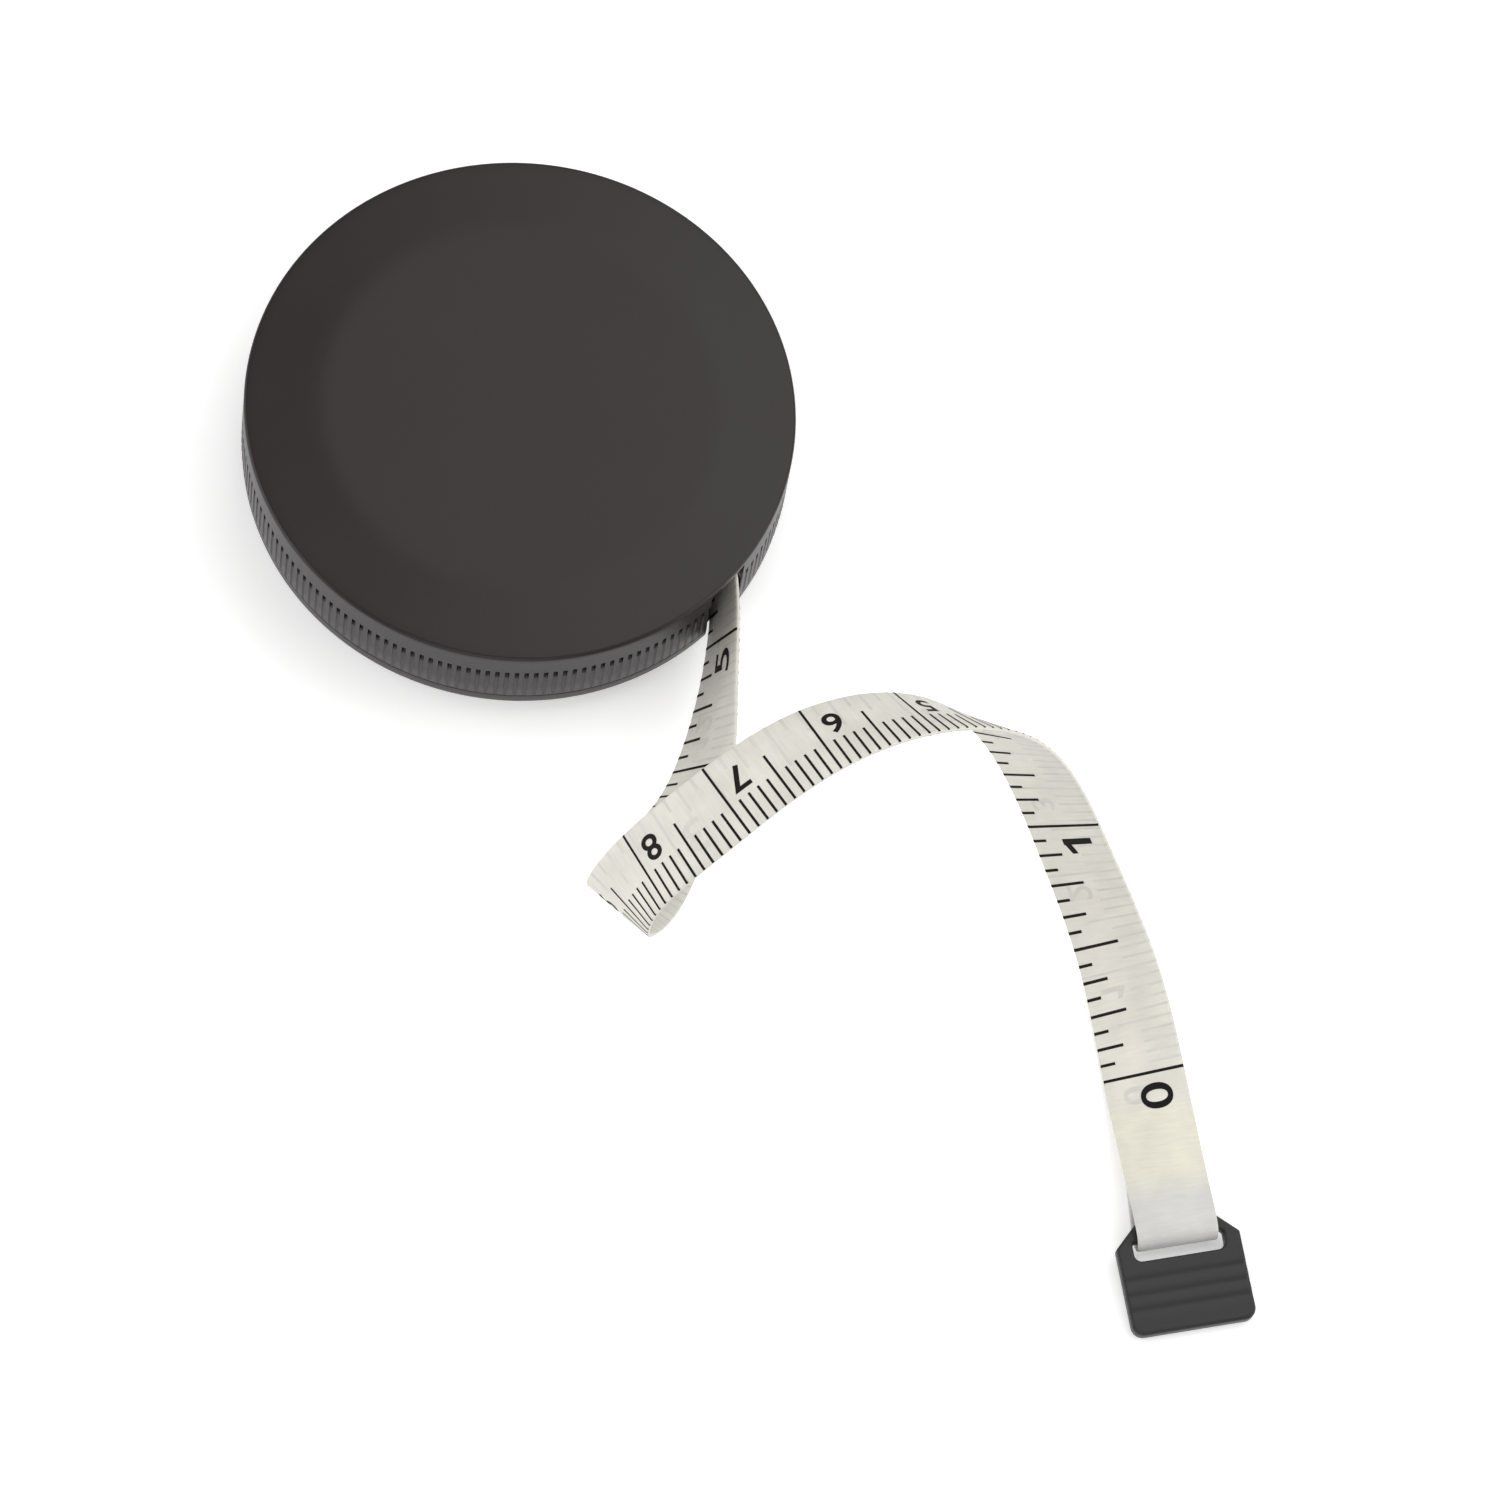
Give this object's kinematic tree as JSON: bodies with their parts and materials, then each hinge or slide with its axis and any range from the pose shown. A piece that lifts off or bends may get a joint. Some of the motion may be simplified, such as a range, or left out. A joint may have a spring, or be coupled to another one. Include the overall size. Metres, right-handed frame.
{
  "type": "cloth tape measure",
  "caption": "Pocket tape measure in a round case with a knurled rim: sprung reel, friction brake with a push button, curled soft printed tape and a flat pull tab.",
  "frame": {"origin": "on the table under the middle of the round case", "axes": "+Z along the case axis, out of the plain face; the tape leaves the case towards -Y on the +X side"},
  "size_m": [0.1074, 0.0984, 0.0342],
  "materials": {
    "shell_plastic": "fine matte texture",
    "button_plastic": "satin",
    "tab_plastic": "satin",
    "reel_plastic": "moulded",
    "steel": "turned",
    "spring_steel": "blued",
    "lining": "matte",
    "tape_cloth": "coated woven tape with a printed scale"
  },
  "bodies": {
    "case": {"upper_shell": "shell_plastic", "lower_shell": "shell_plastic", "axle_post": "steel", "axle_clip": "spring_steel", "thrust_washer": "reel_plastic", "brake_pin": "steel", "brake_spring": "spring_steel", "button_spring": "spring_steel", "tape_strip": "tape_cloth"},
    "reel": {"reel_hub": "reel_plastic", "reel_cover": "reel_plastic", "power_spring": "spring_steel", "spring_disc": "reel_plastic", "tape_anchor": "steel", "tape_coil": "tape_cloth"},
    "button": {"push_button": "button_plastic"},
    "brake": {"brake_lever": "reel_plastic", "brake_pad": "lining"},
    "tape_end": {"tape_fold": "tape_cloth"},
    "tab": {"end_tab": "tab_plastic"}
  },
  "joints": [
    {"name": "reel_spin", "type": "hinge", "parent": "case", "child": "reel", "pos_m": [0, 0, 0.0063], "axis": [0, 0, -1], "range_deg": [-390, 3900]},
    {"name": "button_press", "type": "slide", "parent": "case", "child": "button", "axis": [0, 0, 1], "range_m": [0, 0.0015], "stiffness_N_per_m": 800, "springref_m": -0.0008, "deforming": ["button_spring"]},
    {"name": "brake_release", "type": "hinge", "parent": "case", "child": "brake", "pos_m": [-0.00948, 0.00547, 0.0034], "axis": [0, 0, 1], "range_deg": [0, 3.1]},
    {"name": "tape_pull", "type": "slide", "parent": "case", "child": "tape_end", "axis": [0.7389, -0.6739, 0], "range_m": [-0.012, 0.025], "deforming": ["tape_strip"]},
    {"name": "tab_swing", "type": "hinge", "parent": "tape_end", "child": "tab", "pos_m": [0.0734, -0.0623, 0.00164], "axis": [-0.9272, -0.3746, 0], "range_deg": [0, 120]}
  ],
  "couplings": [
    {"joint": "brake_release", "follows": "button_press", "rad_per_m": 34.9}
  ]
}
